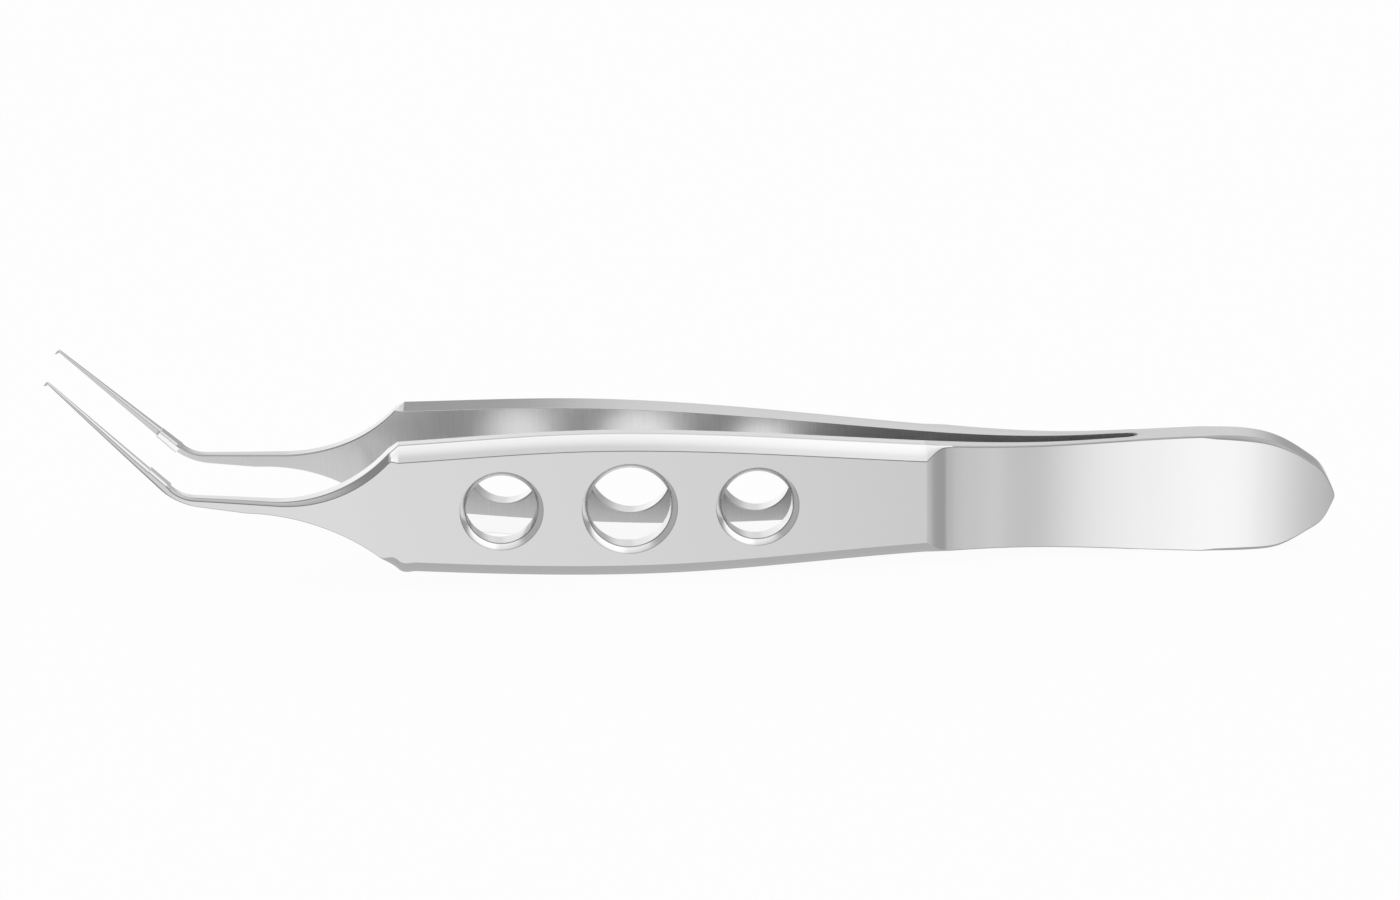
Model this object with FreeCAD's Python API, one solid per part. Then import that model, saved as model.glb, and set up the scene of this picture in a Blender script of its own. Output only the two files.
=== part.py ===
import FreeCAD, Part
import os
from math import cos, radians, sin
from FreeCAD import Vector

# Spring forceps with two mirrored blades that are welded into one butt.
# Each blade runs from its hooked tip through an angled shaft, a slim shank,
# a three-hole handle and a thin leaf to the butt.
# All lengths are in millimetres. +X points to the butt, +Z up across the
# width of the handle, and the arms spread along Y.
# A side-view place is measured from the end of the slit, with x negative
# towards the tips, and from the surface that the forceps stands on. A
# setback runs from the handle's front towards the butt, and a reach from
# there towards the tips.

# Spread of the arms
OPEN_ANGLE = 3.72
ROOT_CLEARANCE = 0.05
SLIT_WIDTH = 0.8

# Thickness of one blade
HANDLE_THICKNESS = 2.0
LEAF_THICKNESS = 0.85
FOOT_THICKNESS = 1.1

# Lengths forward of the slit's end
LEAF_LENGTH = 15.3
FOOT_LENGTH = 6.0
SCOOP_LENGTH = 2.3
SCOOP_SLOPE = 0.75
HANDLE_FRONT = 59.8

# Handle and leaf, seen from the side
SHOULDER_HEIGHT = 11.9
CREST_SETBACK = 13.4
CREST_HEIGHT = 12.25
HANDLE_REAR_X = -19.0
HANDLE_REAR_HEIGHT = 10.25
HEEL_DROP = 0.9
HANDLE_KEEL_SETBACK = 22.3
WAIST_X = -7.0
WAIST_HEIGHT = 9.55
ARCH_X = -11.0
ARCH_HEIGHT = 0.93

# Butt, seen from the side and from above
BUTT_LENGTH = 15.85
BUTT_CREST_X = 6.0
BUTT_CREST_HEIGHT = 9.95
BUTT_KEEL_X = 7.3
NOSE_HEIGHT = 4.55
CHEEK_X = 12.6
CHEEK_DROP = 1.85
CHEEK_RISE = 1.2
BULGE_X = 9.5
BULGE_THICKNESS = 3.2
NOSE_THICKNESS = 1.2
NOSE_SLOPE = 1.6
NOSE_TAPER = 0.4

# Bevels of the handle
BEVEL_HEIGHT = 1.15
BEVEL_DEPTH = 1.0
INNER_BREAK = 0.5
INNER_RUNOUT = 3.0
RELIEF_HEIGHT = 1.75
RELIEF_DEPTH = 0.45

# Holes through the handle
HOLE_PITCH = 10.33
MIDDLE_HOLE_SETBACK = 18.14
MIDDLE_HOLE_HEIGHT = 6.05
HOLE_LINE_FALL = 0.024
MIDDLE_HOLE_DIAMETER = 6.8
END_HOLE_DIAMETER = 5.8
SINK_WIDTH = 0.46
SINK_DEPTH = 0.4

# Throat and shank
THROAT_TOP_RADIUS = 12.6
THROAT_BOTTOM_RADIUS = 15.8
THROAT_TOP_REACH = 10.1
THROAT_BOTTOM_REACH = 12.6
SHANK_TOP_HEIGHT = 7.6
SHANK_BOTTOM_HEIGHT = 6.75

# Elbow, shaft and hook
ELBOW_REACH = 18.4
ELBOW_HEIGHT = 7.75
ELBOW_RADIUS = 2.4
SHANK_WIDTH = 0.88
SHAFT_ANGLE = 44.3
SHAFT_LENGTH = 13.75
SHAFT_ROOT_WIDTH = 0.8
SHAFT_TIP_WIDTH = 0.18
HOOK_LENGTH = 0.46
HOOK_THICKNESS = 0.2

# Shank and shaft seen from above: where the blade's middle lies, and how
# thick it is there
THROAT_REACH = 7.7
THROAT_OFFSET = 0.95
THROAT_THICKNESS = 1.5
SHANK_REACH = 13.6
SHANK_OFFSET = 0.18
SHANK_THICKNESS = 1.15
ELBOW_OFFSET = -0.48
ELBOW_THICKNESS = 0.95
TIP_OFFSET = -2.17
TIP_THICKNESS = 0.3

# Platform on the inner side of the shaft
PAD_START = 0.7
PAD_LENGTH = 2.0
PAD_WIDTH = 0.72
PAD_PROUD = 0.15

# How far a cutting solid passes the faces that it cuts
SPARE = 4.0


def side(x, z):
    """A point or direction of the side view."""
    return Vector(x, 0, z)


def plan(x, y):
    """A point or direction of the view from above."""
    return Vector(x, y, 0)


def line(start, end):
    return Part.LineSegment(start, end).toShape()


def curve(points, start_way, end_way):
    """A smooth curve through points, with set directions at its ends."""
    shape = Part.BSplineCurve()
    shape.interpolate(
        Points=points,
        InitialTangent=start_way.normalize(),
        FinalTangent=end_way.normalize())
    return shape.toShape()


def bend(before, corner, after, radius):
    """The arc that rounds a corner, with its two tangent points."""
    back = (before - corner).normalize()
    ahead = (after - corner).normalize()
    half = back.getAngle(ahead) / 2
    inward = (back + ahead).normalize()
    centre = corner + inward * (radius / sin(half))
    setback = radius * cos(half) / sin(half)
    start = corner + back * setback
    end = corner + ahead * setback
    arc = Part.Arc(start, centre - inward * radius, end).toShape()
    return arc, start, end


def drawn_out(edges, way):
    """The solid that a closed outline sweeps along a straight way."""
    wire = Part.Wire(Part.sortEdges(edges)[0])
    return Part.Face(wire).extrude(way)


# Places along X, behind or ahead of the handle's front
CREST_X = CREST_SETBACK - HANDLE_FRONT
HANDLE_KEEL_X = HANDLE_KEEL_SETBACK - HANDLE_FRONT
MIDDLE_HOLE_X = MIDDLE_HOLE_SETBACK - HANDLE_FRONT
THROAT_TOP_X = -HANDLE_FRONT - THROAT_TOP_REACH
THROAT_BOTTOM_X = -HANDLE_FRONT - THROAT_BOTTOM_REACH
THROAT_X = -HANDLE_FRONT - THROAT_REACH
SHANK_X = -HANDLE_FRONT - SHANK_REACH
ELBOW_X = -HANDLE_FRONT - ELBOW_REACH

# Directions and corners of the shaft
UP_SHAFT = side(-cos(radians(SHAFT_ANGLE)), sin(radians(SHAFT_ANGLE)))
DOWN_HOOK = side(-sin(radians(SHAFT_ANGLE)), -cos(radians(SHAFT_ANGLE)))
ELBOW = side(ELBOW_X, ELBOW_HEIGHT)
SHAFT_END = ELBOW + UP_SHAFT * SHAFT_LENGTH
HEEL_X = -HANDLE_FRONT - HEEL_DROP


def throat_edges(way):
    """The upper (1) or lower (-1) throat arc, and its end at the handle."""
    if way > 0:
        tangent = side(THROAT_TOP_X, SHANK_TOP_HEIGHT)
        radius = THROAT_TOP_RADIUS
    else:
        tangent = side(THROAT_BOTTOM_X, SHANK_BOTTOM_HEIGHT)
        radius = THROAT_BOTTOM_RADIUS
    points = []
    for run in ((HEEL_X - tangent.x) / 2, HEEL_X - tangent.x):
        rise = radius - (radius ** 2 - run ** 2) ** 0.5
        points.append(tangent + side(run, way * rise))
    return [Part.Arc(tangent, points[0], points[1]).toShape()], points[1]


def upper_handle_edges():
    """The top edge from the handle's shoulder to the crest of the butt."""
    points = [
        side(-HANDLE_FRONT, SHOULDER_HEIGHT),
        side(CREST_X, CREST_HEIGHT),
        side(HANDLE_REAR_X, HANDLE_REAR_HEIGHT),
        side(WAIST_X, WAIST_HEIGHT),
        side(BUTT_CREST_X, BUTT_CREST_HEIGHT)]
    return [curve(points, points[1] - points[0], side(1, 0))]


def lower_handle_edges():
    """The lower edge from the handle's heel to the keel of the butt."""
    heel = throat_edges(-1)[1]
    points = [
        heel,
        side(HANDLE_KEEL_X, 0),
        side(ARCH_X, ARCH_HEIGHT),
        side(BUTT_KEEL_X, 0)]
    levelling_out = side(HANDLE_KEEL_X - heel.x, -2 * heel.z)
    return [curve(points, levelling_out, side(1, 0))]


def upper_front_edges():
    """The top edge from the shaft's end to the handle's shoulder."""
    tip = SHAFT_END - DOWN_HOOK * (SHAFT_TIP_WIDTH / 2)
    root = ELBOW - DOWN_HOOK * (SHAFT_ROOT_WIDTH / 2)
    shank = side(THROAT_TOP_X, SHANK_TOP_HEIGHT)
    arc, start, end = bend(tip, root, shank, ELBOW_RADIUS)
    throat, top = throat_edges(1)
    shoulder = side(-HANDLE_FRONT, SHOULDER_HEIGHT)
    return [
        line(tip, start), arc, line(end, shank), *throat,
        line(top, shoulder)]


def lower_front_edges():
    """The lower edge from the hook's root to the handle's heel."""
    root = ELBOW + DOWN_HOOK * (SHAFT_ROOT_WIDTH / 2)
    shank = side(THROAT_BOTTOM_X, SHANK_BOTTOM_HEIGHT)
    arc, start, end = bend(
        hook_root(), root, shank, ELBOW_RADIUS + SHANK_WIDTH)
    throat, _ = throat_edges(-1)
    return [line(hook_root(), start), arc, line(end, shank), *throat]


def hook_root():
    """Where the hook's inner side meets the underside of the shaft."""
    end = SHAFT_END + DOWN_HOOK * (SHAFT_TIP_WIDTH / 2)
    return end - UP_SHAFT * HOOK_THICKNESS


def hook_edges():
    """The hook that turns down off the shaft's end to a point."""
    apex = SHAFT_END - DOWN_HOOK * (SHAFT_TIP_WIDTH / 2)
    point = apex + DOWN_HOOK * HOOK_LENGTH
    return [line(apex, point), line(point, hook_root())]


def nose_edges():
    """The outline of the butt behind its crest and its keel."""
    nose = side(BUTT_LENGTH, NOSE_HEIGHT)
    crest = side(BUTT_CREST_X, BUTT_CREST_HEIGHT)
    top_cheek = side(CHEEK_X, BUTT_CREST_HEIGHT - CHEEK_DROP)
    keel = side(BUTT_KEEL_X, 0)
    low_cheek = side(CHEEK_X, CHEEK_RISE)
    return [
        curve([crest, top_cheek, nose], side(1, 0), side(1, -NOSE_SLOPE)),
        curve([keel, low_cheek, nose], side(1, 0), side(1, NOSE_SLOPE))]


def blade_side_solid():
    """The blade's side view, drawn out past both of its faces."""
    edges = (
        hook_edges() + upper_front_edges() + upper_handle_edges()
        + nose_edges() + lower_handle_edges() + lower_front_edges())
    solid = drawn_out(edges, Vector(0, 2 * SPARE, 0))
    solid.translate(Vector(0, -SPARE, 0))
    return solid


def shank_middles():
    """Middle and thickness of the blade forward of the handle, from above."""
    return [
        (HEEL_X, HANDLE_THICKNESS / 2, HANDLE_THICKNESS),
        (THROAT_X, THROAT_OFFSET, THROAT_THICKNESS),
        (SHANK_X, SHANK_OFFSET, SHANK_THICKNESS),
        (ELBOW_X, ELBOW_OFFSET, ELBOW_THICKNESS),
        (SHAFT_END.x, TIP_OFFSET, TIP_THICKNESS)]


def shank_edge(way):
    """The inner (-1) or outer (1) edge forward of the handle, from above."""
    points = [
        plan(x, middle + way * thick / 2)
        for x, middle, thick in shank_middles()]
    edge = curve(points, plan(-1, 0), points[-1] - points[-2])
    ahead = (points[-1] - points[-2]).normalize()
    end = points[-1] + ahead * (HOOK_LENGTH + SPARE)
    return [edge, line(points[-1], end)], end


def arm_plan_solid():
    """One arm from above: leaf, scoop, handle and the curved shank."""
    inner, inner_end = shank_edge(-1)
    outer, outer_end = shank_edge(1)
    root = plan(-ROOT_CLEARANCE, 0)
    leaf_root = plan(-ROOT_CLEARANCE, LEAF_THICKNESS)
    scoop = [
        plan(-LEAF_LENGTH - SCOOP_LENGTH, HANDLE_THICKNESS),
        plan(-LEAF_LENGTH, FOOT_THICKNESS),
        plan(-LEAF_LENGTH + FOOT_LENGTH, LEAF_THICKNESS)]
    edges = [
        line(root, plan(HEEL_X, 0)), *inner,
        line(inner_end, outer_end), *outer,
        line(plan(HEEL_X, HANDLE_THICKNESS), scoop[0]),
        curve(scoop, plan(1, -SCOOP_SLOPE), plan(1, 0)),
        line(scoop[-1], leaf_root), line(leaf_root, root)]
    height = SHAFT_END.z + 2 * SPARE
    solid = drawn_out(edges, Vector(0, 0, height))
    solid.translate(Vector(0, 0, -SPARE))
    return solid


def bevel_cutter(edges, shift, face_y, way):
    """The stock past a bevel that follows an edge of the side view.

    The bevel starts on the face at face_y, shift away from the edge, and
    runs along way until it has passed through the edge.
    """
    edges = [e.translated(shift) for e in edges]
    ends = [edges[0].Vertexes[0].Point, edges[-1].Vertexes[-1].Point]
    beyond = side(0, -shift.z / abs(shift.z) * (SHAFT_END.z + SPARE))
    start, end = sorted(ends, key=lambda p: p.x)
    outline = edges + [
        line(start, start + beyond), line(start + beyond, end + beyond),
        line(end + beyond, end)]
    solid = drawn_out(outline, way * SPARE)
    solid.translate(Vector(0, face_y, 0))
    return solid


def handle_stretch(edges, start_x, end_x):
    """The part of side-view edges that lies between two places along X."""
    box = Part.makeBox(
        end_x - start_x, 2 * SPARE, SHAFT_END.z + 4 * SPARE,
        Vector(start_x, -SPARE, -2 * SPARE))
    cut = Part.Wire(edges).common(box)
    return Part.sortEdges(cut.Edges)[0]


def run_out(edges):
    """Long edges of the handle, led straight on past the handle's front."""
    first = edges[0]
    start = first.valueAt(first.FirstParameter)
    ahead = start - first.tangentAt(first.FirstParameter) * INNER_RUNOUT
    return [line(ahead, start)] + edges


def bevelled(arm):
    """The arm with its outer bevels, inner breaks and lower relief."""
    front = SHAFT_END.x - SPARE
    top = upper_front_edges()[2:] + upper_handle_edges()
    low = lower_front_edges()[2:] + lower_handle_edges()
    foot = -LEAF_LENGTH + FOOT_LENGTH
    scoop = -LEAF_LENGTH - SCOOP_LENGTH
    out_top = handle_stretch(top, front, foot)
    out_low = handle_stretch(low, front, foot)
    in_top = run_out(handle_stretch(upper_handle_edges(), front, scoop))
    in_low = run_out(handle_stretch(lower_handle_edges(), front, scoop))
    bevel = side(0, BEVEL_HEIGHT)
    inner = side(0, INNER_BREAK)
    relief = side(0, RELIEF_HEIGHT)
    cutters = [
        bevel_cutter(
            out_top, bevel * -1, HANDLE_THICKNESS,
            Vector(0, -BEVEL_DEPTH, BEVEL_HEIGHT)),
        bevel_cutter(
            out_low, bevel, HANDLE_THICKNESS,
            Vector(0, -BEVEL_DEPTH, -BEVEL_HEIGHT)),
        bevel_cutter(
            in_top, inner * -1, 0, Vector(0, INNER_BREAK, INNER_BREAK)),
        bevel_cutter(
            in_low, relief, 0, Vector(0, RELIEF_DEPTH, -RELIEF_HEIGHT))]
    for cutter in cutters:
        arm = arm.cut(cutter)
    return arm


def hole_cutter(place, diameter):
    """A hole through the handle, countersunk from the outer face."""
    x = MIDDLE_HOLE_X + place * HOLE_PITCH
    z = MIDDLE_HOLE_HEIGHT - place * HOLE_PITCH * HOLE_LINE_FALL
    across = Vector(0, 1, 0)
    bore = Part.makeCylinder(
        diameter / 2, 2 * SPARE, Vector(x, -SPARE, z), across)
    sink = Part.makeCone(
        diameter / 2, diameter / 2 + SINK_WIDTH, SINK_DEPTH,
        Vector(x, HANDLE_THICKNESS - SINK_DEPTH, z), across)
    return bore.fuse(sink)


def platform():
    """The small raised land on the inner side of the shaft."""
    start = ELBOW + UP_SHAFT * PAD_START
    end = start + UP_SHAFT * PAD_LENGTH
    half = DOWN_HOOK * (PAD_WIDTH / 2)
    corners = [start - half, end - half, end + half, start + half]
    edges = [line(corners[i - 1], corners[i]) for i in range(4)]
    column = drawn_out(edges, Vector(0, 2 * SPARE, 0))
    column.translate(Vector(0, -SPARE - ELBOW_THICKNESS, 0))
    raised = arm_plan_solid()
    raised.translate(Vector(0, -PAD_PROUD, 0))
    return column.common(raised)


def make_arm():
    """One arm with its inner face on the middle plane."""
    arm = blade_side_solid().common(arm_plan_solid())
    arm = bevelled(arm)
    arm = arm.cut(hole_cutter(-1, END_HOLE_DIAMETER))
    arm = arm.cut(hole_cutter(0, MIDDLE_HOLE_DIAMETER))
    arm = arm.cut(hole_cutter(1, END_HOLE_DIAMETER))
    return arm.fuse(platform()).Solids[0]


def make_far_arm():
    """The arm on the +Y side, swung out about its leaf's root."""
    arm = make_arm()
    arm.translate(Vector(0, SLIT_WIDTH / 2, 0))
    arm.rotate(
        Vector(0, (SLIT_WIDTH + LEAF_THICKNESS) / 2, 0), Vector(0, 0, 1),
        -OPEN_ANGLE)
    return arm


def make_near_arm():
    """The arm on the -Y side, the mirror image of the other."""
    return make_far_arm().mirror(Vector(0, 0, 0), Vector(0, 1, 0))


def make_butt():
    """The rear ends of both blades, welded into one lens-shaped block."""
    points = [
        plan(0, SLIT_WIDTH / 2 + LEAF_THICKNESS),
        plan(BULGE_X, BULGE_THICKNESS / 2),
        plan(BUTT_LENGTH, NOSE_THICKNESS / 2)]
    far_edge = curve(points, plan(1, 0), plan(1, -NOSE_TAPER))
    near_points = [plan(p.x, -p.y) for p in points]
    near_edge = curve(near_points, plan(1, 0), plan(1, NOSE_TAPER))
    edges = [
        far_edge, near_edge, line(points[0], near_points[0]),
        line(points[-1], near_points[-1])]
    block = drawn_out(edges, Vector(0, 0, SHAFT_END.z + SPARE))
    block.translate(Vector(0, 0, -SPARE))
    return block.common(blade_side_solid()).Solids[0]


def main():
    nodes = {
        "near_arm": make_near_arm(),
        "far_arm": make_far_arm(),
        "butt": make_butt()}
    box = Part.makeCompound(list(nodes.values())).BoundBox
    to_origin = Vector(-(box.XMin + box.XMax) / 2, 0, -box.ZMin)
    os.makedirs("parts", exist_ok=True)
    for name, shape in nodes.items():
        shape = shape.translated(to_origin)
        shape.exportStep("parts/" + name + ".step")
        print(name, shape.isValid(), len(shape.Solids), round(shape.Volume, 2))
    print("hinge line at x", round(to_origin.x, 3), "box", box)


main()
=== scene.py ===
from math import acos, cos, pi, radians, sin, sqrt, tan

import bmesh
import bpy
from mathutils import Matrix, Vector


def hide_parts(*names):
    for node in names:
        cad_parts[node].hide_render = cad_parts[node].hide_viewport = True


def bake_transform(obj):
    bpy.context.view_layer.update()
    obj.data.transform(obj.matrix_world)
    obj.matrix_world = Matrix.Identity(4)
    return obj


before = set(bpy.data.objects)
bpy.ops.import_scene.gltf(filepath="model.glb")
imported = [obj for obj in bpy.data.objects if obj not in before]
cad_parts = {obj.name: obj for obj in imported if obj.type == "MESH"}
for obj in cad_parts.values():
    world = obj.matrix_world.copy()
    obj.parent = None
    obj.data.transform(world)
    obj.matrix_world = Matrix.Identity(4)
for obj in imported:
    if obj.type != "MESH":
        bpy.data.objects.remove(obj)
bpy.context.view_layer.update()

# Spring forceps: two mirrored blades, each forged and ground as one piece
# from its hooked tip to its half of the butt. A blade is shaped in
# millimetres, lying along X with its slit end at x = 0 and its tip at
# negative x, and is then swung out, mirrored and brought to metres.
MM = 0.001

# Spread of the blades
OPEN_ANGLE = radians(3.72)
SLIT_WIDTH = 0.8
SLIT_END_X = 36.222
STAND_HEIGHT = 0.011

# Thickness of one blade
HANDLE_THICKNESS = 1.998
LEAF_THICKNESS = 0.85

# Handle, leaf and butt, seen from the side
LEAF_LENGTH = 15.3
SCOOP_LENGTH = 2.3
SCOOP_SLOPE = 0.75
SHOULDER_X = -60.1
HEEL_X = -60.7
HEEL_ROUND = (-60.5, -59.0)
HEEL_LOW = 1.04
HEEL_SLOPE = -0.085
SHOULDER_HEIGHT = 11.9
CREST = (-46.4, 12.25)
HANDLE_REAR = (-19.0, 10.33)
WAIST = (-7.0, 9.66)
HANDLE_KEEL_X = -37.5
ARCH = (-11.0, 0.93)
BUTT_CREST = (6.0, 10.0)
BUTT_KEEL_X = 7.3
TOP_CHEEK = [(9.1, 9.8), (11.5, 9.06), (13.9, 7.54), (15.2, 6.13)]
LOW_CHEEK = [(9.3, 0.05), (11.5, 0.42), (13.9, 1.76), (15.2, 2.97)]
NOSE = (15.936, 4.55)
NOSE_SLOPE = 2.2
NOSE_RADIUS = 0.9

# Throat, shank, elbow, shaft and hook
THROAT_TOP = (-69.9, 7.52)
THROAT_TOP_RADIUS = 12.4
THROAT_TOP_END = -60.9
THROAT_LOW = (-72.4, 6.55)
THROAT_LOW_RADIUS = 16.2
ELBOW = Vector((-77.85, 7.55))
ELBOW_RADIUS = 2.7
ELBOW_LOW_RADIUS = 5.3
SHAFT_ANGLE = radians(44.3)
SHAFT_LENGTH = 14.05
SHAFT_ROOT_WIDTH = 0.8
SHAFT_TIP_WIDTH = 0.18
HOOK_LENGTH = 0.46
HOOK_THICKNESS = 0.2
HOOK_BACK_RADIUS = 0.12
HOOK_INSIDE_RADIUS = 0.1
HOOK_POINT_LOSS = (0.01, 0.09)
PAD_START = 1.2
PAD_LENGTH = 2.1
PAD_PROUD = 0.3
PAD_LIFT = 0.04
PAD_STEP = 0.04

# Bevels and breaks of the long edges. The first of a pair is height on the
# blade and the second is depth across it, and a share is of the section's
# thickness or height.
BEVEL = (1.15, 1.0)
BEVEL_CROWN = 0.03
BEVEL_FALL = 1.2
BEVEL_SHARES = (0.42, 0.6)
LOW_BEVEL_RUN = (-62.0, -60.5)
RELIEF = (1.75, 0.45)
RELIEF_SHARE = 0.4
INNER_BREAK = 0.5
CHAMFER_SHARE = 0.35
EDGE_BREAK = 0.09
EDGE_SHARE = 0.15
FINEST_OF_EDGE = 0.3
FINE_BREAK = 0.08
FINE_SHARE = 0.2
SHAFT_SHARE = 0.24
SHAFT_BLEND = 1.5

# Each section's ten corners, from the inner face's lower one round to its
# upper one: steps on each corner's arc, and the arc's radius
CORNER_STEPS = (3, 3, 3, 4, 3, 3, 6, 6, 4, 3)
CORNER_RADII = (0.12, 0.14, 0.16, 9, 0.08, 0.12, 9, 0.34, 0.1, 0.06)
CORNER_ROOM = 0.45
SHORTEST_ROOM = 0.002

# Holes: place of the middle one, and diameter of each
HOLE_PITCH = 10.33
MIDDLE_HOLE = (-41.66, 6.05)
HOLE_LINE_FALL = 0.024
HOLE_DIAMETERS = (5.8, 6.8, 5.8)
SINK_WIDTH = 0.46
SINK_DEPTH = 0.4
RIM_BREAK = 0.05
BACK_BREAK = 0.09
HOLE_SIDES = 128
TOOL_REACH = 0.3
TOOL_SPREAD = 1.6

# Meshing
SPLINE_PASSES = 60
TANGENT_REACH = 0.01
SHORT_STEP = 0.03
MERGE_DISTANCE = 0.0005
FLAT_ANGLE = radians(0.05)
SHARP_ANGLE = radians(26)

UP_SHAFT = Vector((-cos(SHAFT_ANGLE), sin(SHAFT_ANGLE)))
DOWN_HOOK = Vector((-sin(SHAFT_ANGLE), -cos(SHAFT_ANGLE)))
SHAFT_END = ELBOW + UP_SHAFT * SHAFT_LENGTH


# Curves

def spline(points, start_slope, end_slope):
    """The smooth curve y(x) through points, with set slopes at its ends."""
    xs = [p[0] for p in points]
    ys = [p[1] for p in points]
    last = len(xs) - 1
    gaps = [xs[i + 1] - xs[i] for i in range(last)]
    rises = [(ys[i + 1] - ys[i]) / gaps[i] for i in range(last)]
    slopes = [start_slope] + [0.0] * (last - 1) + [end_slope]
    for _ in range(SPLINE_PASSES):
        for i in range(1, last):
            a, b = gaps[i - 1], gaps[i]
            pull = 3 * (b * rises[i - 1] + a * rises[i])
            slopes[i] = (pull - b * slopes[i - 1] - a * slopes[i + 1]) / (2 * (a + b))

    def value(x):
        i = 0
        while i < last - 1 and x > xs[i + 1]:
            i += 1
        h = gaps[i]
        t = (x - xs[i]) / h
        if t < 0:
            return ys[0] + slopes[0] * (x - xs[0])
        if t > 1:
            return ys[-1] + slopes[-1] * (x - xs[-1])
        return (
            ys[i] * (1 + 2 * t) * (1 - t) ** 2 + slopes[i] * h * t * (1 - t) ** 2
            + ys[i + 1] * t * t * (3 - 2 * t) + slopes[i + 1] * h * t * t * (t - 1))

    return value


def ramp(points):
    """Straight runs between points, level past both ends."""
    def value(x):
        if x <= points[0][0]:
            return points[0][1]
        for (x0, y0), (x1, y1) in zip(points, points[1:]):
            if x <= x1:
                return y0 + (y1 - y0) * (x - x0) / (x1 - x0)
        return points[-1][1]
    return value


def held(value, low, high):
    return max(low, min(high, value))


def mixed(a, b, share):
    return a + (b - a) * share


def eased(share):
    """The share, with a level start and end."""
    return share * share * (3 - 2 * share)


def slope_between(a, b):
    return (b[1] - a[1]) / (b[0] - a[0])


def slope_at(curve, x):
    before, after = x - TANGENT_REACH, x + TANGENT_REACH
    return slope_between((before, curve(before)), (after, curve(after)))


# Side outline of the blade

def throat_low(x):
    run = x - THROAT_LOW[0]
    return THROAT_LOW[1] - THROAT_LOW_RADIUS + sqrt(THROAT_LOW_RADIUS ** 2 - run ** 2)


SHOULDER = (SHOULDER_X, SHOULDER_HEIGHT)
handle_top = spline(
    [SHOULDER, CREST, HANDLE_REAR, WAIST, BUTT_CREST],
    slope_between(SHOULDER, CREST), 0)
handle_low = spline(
    [(HEEL_ROUND[1], HEEL_LOW), (HANDLE_KEEL_X, 0), ARCH, (BUTT_KEEL_X, 0)], HEEL_SLOPE, 0)
heel_low = spline(
    [(HEEL_ROUND[0], throat_low(HEEL_ROUND[0])), (HEEL_ROUND[1], HEEL_LOW)],
    slope_at(throat_low, HEEL_ROUND[0]), HEEL_SLOPE)
nose_top = spline([BUTT_CREST, *TOP_CHEEK, NOSE], 0, -NOSE_SLOPE)
nose_low = spline([(BUTT_KEEL_X, 0), *LOW_CHEEK, NOSE], 0, NOSE_SLOPE)
NOSE_CENTRE_X = NOSE[0] - NOSE_RADIUS * sqrt(1 + NOSE_SLOPE ** 2) / NOSE_SLOPE
NOSE_ROUND_X = NOSE_CENTRE_X + NOSE_RADIUS * NOSE_SLOPE / sqrt(1 + NOSE_SLOPE ** 2)


def nose_height(x):
    """Half the height of the rounded end of the nose."""
    return sqrt(max(0, NOSE_RADIUS ** 2 - (x - NOSE_CENTRE_X) ** 2))


def top_edge(x):
    if x > NOSE_ROUND_X:
        return NOSE[1] + nose_height(x)
    if x > BUTT_CREST[0]:
        return nose_top(x)
    if x > SHOULDER[0]:
        return handle_top(x)
    run = min(x, THROAT_TOP_END) - THROAT_TOP[0]
    if run > 0:
        arc = THROAT_TOP[1] + THROAT_TOP_RADIUS - sqrt(THROAT_TOP_RADIUS ** 2 - run ** 2)
        past = held((x - THROAT_TOP_END) / (SHOULDER_X - THROAT_TOP_END), 0, 1)
        return arc + (SHOULDER_HEIGHT - arc) * past
    return THROAT_TOP[1] + TOP_SHANK_SLOPE * (x - THROAT_TOP[0])


def low_edge(x):
    if x > NOSE_ROUND_X:
        return NOSE[1] - nose_height(x)
    if x > BUTT_KEEL_X:
        return nose_low(x)
    if x > HEEL_ROUND[1]:
        return handle_low(x)
    if x > HEEL_ROUND[0]:
        return heel_low(x)
    if x > THROAT_LOW[0]:
        return throat_low(x)
    return THROAT_LOW[1] + LOW_SHANK_SLOPE * (x - THROAT_LOW[0])


def elbow_arc(before, corner, after, radius):
    """The arc that rounds a corner of the side outline: a point for each share of it."""
    back = (before - corner).normalized()
    ahead = (after - corner).normalized()
    half = back.angle(ahead) / 2
    centre = corner + (back + ahead).normalized() * (radius / sin(half))
    start = corner + back * (radius / tan(half)) - centre
    turn = pi - 2 * half
    if back.x * ahead.y - back.y * ahead.x > 0:
        turn = -turn

    def point(share):
        a = turn * share
        return centre + Vector((
            start.x * cos(a) - start.y * sin(a), start.x * sin(a) + start.y * cos(a)))

    return point


APEX = SHAFT_END - DOWN_HOOK * (SHAFT_TIP_WIDTH / 2)
HOOK_ROOT = SHAFT_END + DOWN_HOOK * (SHAFT_TIP_WIDTH / 2) - UP_SHAFT * HOOK_THICKNESS
HOOK_POINT = APEX + DOWN_HOOK * HOOK_LENGTH
TOP_CORNER = ELBOW - DOWN_HOOK * (SHAFT_ROOT_WIDTH / 2)
LOW_CORNER = ELBOW + DOWN_HOOK * (SHAFT_ROOT_WIDTH / 2)
TOP_SHANK_SLOPE = slope_between(TOP_CORNER, THROAT_TOP)
LOW_SHANK_SLOPE = slope_between(LOW_CORNER, THROAT_LOW)
top_elbow = elbow_arc(APEX, TOP_CORNER, Vector(THROAT_TOP), ELBOW_RADIUS)
low_elbow = elbow_arc(HOOK_ROOT, LOW_CORNER, Vector(THROAT_LOW), ELBOW_LOW_RADIUS)


# Thickness of the blade, seen from above: its inner face lies on y = 0

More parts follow.
